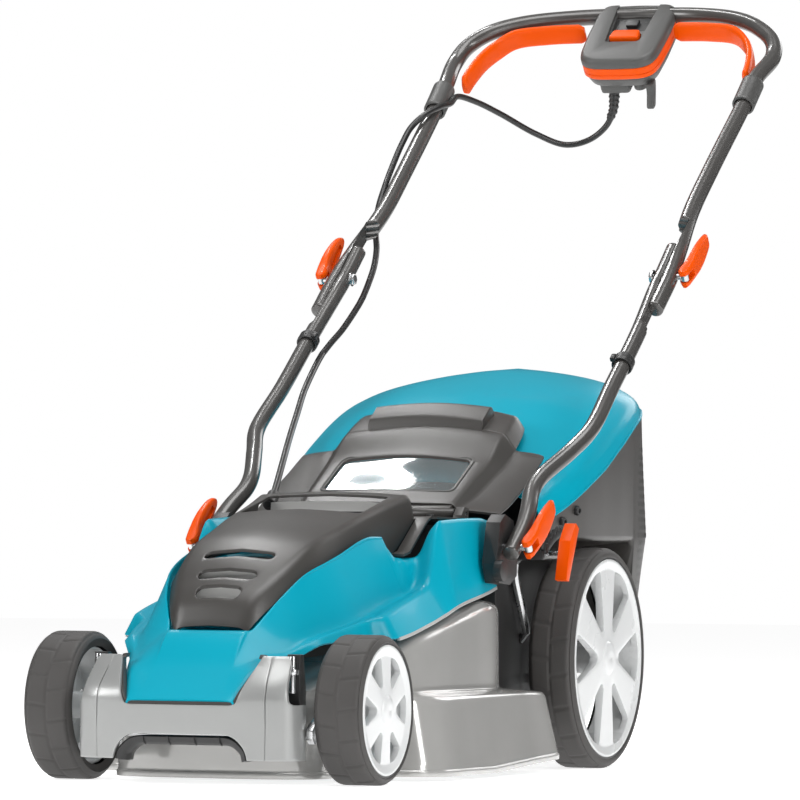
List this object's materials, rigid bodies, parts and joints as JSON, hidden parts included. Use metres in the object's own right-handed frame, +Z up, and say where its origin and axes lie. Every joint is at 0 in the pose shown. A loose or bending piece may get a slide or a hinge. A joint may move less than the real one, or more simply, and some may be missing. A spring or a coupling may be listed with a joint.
{
  "type": "rotary lawn mower",
  "caption": "Corded electric rotary lawn mower with moulded deck, four wheels, folding tube handle with start bars, cutting height lever and rear grass collector.",
  "frame": {"origin": "middle of the footprint, on the floor", "axes": "-Y is the driving direction, +X is the mower's left seen from behind, +Z is up"},
  "size_m": [0.4812, 1.466, 0.942],
  "materials": {
    "cyan_cover": "glossy cyan moulding",
    "deck_grey": "glossy warm grey moulding",
    "bumper_silver": "satin silver moulding",
    "dark_grey_cover": "satin dark grey moulding",
    "black_plastic": "matte black moulding",
    "orange_plastic": "glossy orange moulding",
    "clear_window": "clear window",
    "tread": "matte dark grey tread",
    "white_rim": "glossy white moulding",
    "steel": "bright steel",
    "coated_tube": "glossy dark grey coating",
    "lead_rubber": "satin black sheath"
  },
  "bodies": {
    "deck": {"deck_shell": "deck_grey", "bonnet": "cyan_cover", "motor_cowl": "dark_grey_cover", "intake_grille": "black_plastic", "rear_tray": "dark_grey_cover", "front_fascia": "bumper_silver", "lifting_grip": "black_plastic", "axle_post_right": "black_plastic", "axle_post_left": "black_plastic", "rear_frame": "black_plastic", "handle_bracket_right": "black_plastic", "handle_bracket_left": "black_plastic", "height_quadrant": "black_plastic", "motor_housing": "black_plastic", "flap_pin": "steel", "cable_tail": "lead_rubber"},
    "rotor": {"motor_shaft": "steel", "blade": "steel", "blade_hub": "black_plastic", "blade_bolt": "steel"},
    "height_control": {"height_lever": "steel", "height_lever_grip": "orange_plastic"},
    "front_crank": {"front_axle": "steel"},
    "rear_crank": {"rear_axle": "steel"},
    "front_wheel_right": {"front_tyre_right": "tread", "front_rim_right": "white_rim"},
    "front_wheel_left": {"front_tyre_left": "tread", "front_rim_left": "white_rim"},
    "rear_wheel_right": {"rear_tyre_right": "tread", "rear_rim_right": "white_rim"},
    "rear_wheel_left": {"rear_tyre_left": "tread", "rear_rim_left": "white_rim"},
    "lower_handle": {"lower_tube_right": "coated_tube", "lower_tube_left": "coated_tube", "lower_clamp_bolt_right": "steel", "lower_clamp_bolt_left": "steel", "tube_clip_right": "black_plastic", "tube_clip_left": "black_plastic", "cable_lower": "lead_rubber"},
    "upper_handle": {"handle_loop": "coated_tube", "upper_clamp_bolt_right": "steel", "upper_clamp_bolt_left": "steel", "loop_collar_right": "dark_grey_cover", "loop_collar_left": "dark_grey_cover", "console_top": "dark_grey_cover", "console_band": "orange_plastic", "console_base": "dark_grey_cover", "cable_upper": "lead_rubber"},
    "start_bail": {"start_bar_right": "orange_plastic", "start_bar_left": "orange_plastic"},
    "lock_button": {"safety_button": "orange_plastic"},
    "lower_cam_right": {"lower_clamp_lever_right": "orange_plastic"},
    "lower_cam_left": {"lower_clamp_lever_left": "orange_plastic"},
    "upper_cam_right": {"upper_clamp_lever_right": "orange_plastic"},
    "upper_cam_left": {"upper_clamp_lever_left": "orange_plastic"},
    "flap": {"flap_panel": "dark_grey_cover", "flap_window": "clear_window"},
    "collector": {"collector_hood": "cyan_cover", "collector_tub": "dark_grey_cover"}
  },
  "joints": [
    {"name": "blade_spin", "type": "hinge", "parent": "deck", "child": "rotor", "pos_m": [0, -0.38503, 0.024], "axis": [0, 0, 1], "continuous": true},
    {"name": "height_set", "type": "hinge", "parent": "deck", "child": "height_control", "pos_m": [0, -0.06503, 0.15], "axis": [-1, 0, 0], "range_deg": [0, 25]},
    {"name": "front_crank_turn", "type": "hinge", "parent": "deck", "child": "front_crank", "pos_m": [0, -0.67723, 0.0548], "axis": [-1, 0, 0], "range_deg": [0, 42]},
    {"name": "rear_crank_turn", "type": "hinge", "parent": "deck", "child": "rear_crank", "pos_m": [0, -0.01803, 0.102], "axis": [-1, 0, 0], "range_deg": [0, 42]},
    {"name": "front_wheel_right_roll", "type": "hinge", "parent": "front_crank", "child": "front_wheel_right", "pos_m": [0, -0.62503, 0.08], "axis": [1, 0, 0], "continuous": true},
    {"name": "front_wheel_left_roll", "type": "hinge", "parent": "front_crank", "child": "front_wheel_left", "pos_m": [0, -0.62503, 0.08], "axis": [1, 0, 0], "continuous": true},
    {"name": "rear_wheel_right_roll", "type": "hinge", "parent": "rear_crank", "child": "rear_wheel_right", "pos_m": [0, 0.03417, 0.1272], "axis": [1, 0, 0], "continuous": true},
    {"name": "rear_wheel_left_roll", "type": "hinge", "parent": "rear_crank", "child": "rear_wheel_left", "pos_m": [0, 0.03417, 0.1272], "axis": [1, 0, 0], "continuous": true},
    {"name": "lower_fold", "type": "hinge", "parent": "deck", "child": "lower_handle", "pos_m": [0, -0.22703, 0.254], "axis": [-1, 0, 0], "range_deg": [-120, 0], "deforming": ["cable_tail"]},
    {"name": "upper_fold", "type": "hinge", "parent": "lower_handle", "child": "upper_handle", "pos_m": [0, 0.22197, 0.575], "axis": [1, 0, 0], "range_deg": [0, 135]},
    {"name": "start_squeeze", "type": "hinge", "parent": "upper_handle", "child": "start_bail", "pos_m": [0, 0.57697, 0.829], "axis": [-1, 0, 0], "range_deg": [0, 6], "stiffness_Nm_per_rad": 4, "springref_deg": -6.88},
    {"name": "button_press", "type": "slide", "parent": "upper_handle", "child": "lock_button", "axis": [0, 0.6157, -0.788], "range_m": [0, 0.004], "stiffness_N_per_m": 600, "springref_m": -0.001},
    {"name": "lower_cam_right_open", "type": "hinge", "parent": "lower_handle", "child": "lower_cam_right", "pos_m": [0.2045, -0.22703, 0.254], "axis": [0, 0.5821, -0.8131], "range_deg": [0, 100]},
    {"name": "lower_cam_left_open", "type": "hinge", "parent": "lower_handle", "child": "lower_cam_left", "pos_m": [-0.2045, -0.22703, 0.254], "axis": [0, -0.5821, 0.8131], "range_deg": [0, 100]},
    {"name": "upper_cam_right_open", "type": "hinge", "parent": "upper_handle", "child": "upper_cam_right", "pos_m": [0.2316, 0.22197, 0.575], "axis": [0, 0.5821, -0.8131], "range_deg": [0, 100]},
    {"name": "upper_cam_left_open", "type": "hinge", "parent": "upper_handle", "child": "upper_cam_left", "pos_m": [-0.2316, 0.22197, 0.575], "axis": [0, -0.5821, 0.8131], "range_deg": [0, 100]},
    {"name": "flap_lift", "type": "hinge", "parent": "deck", "child": "flap", "pos_m": [0, -0.18503, 0.291], "axis": [1, 0, 0], "range_deg": [0, 70], "deforming": ["cable_tail"]},
    {"name": "collector_draw", "type": "slide", "parent": "deck", "child": "collector", "axis": [0, 1, 0], "range_m": [0, 0.25]}
  ],
  "couplings": [
    {"joint": "front_crank_turn", "follows": "height_set", "ratio": 1.68},
    {"joint": "rear_crank_turn", "follows": "height_set", "ratio": 1.68}
  ]
}
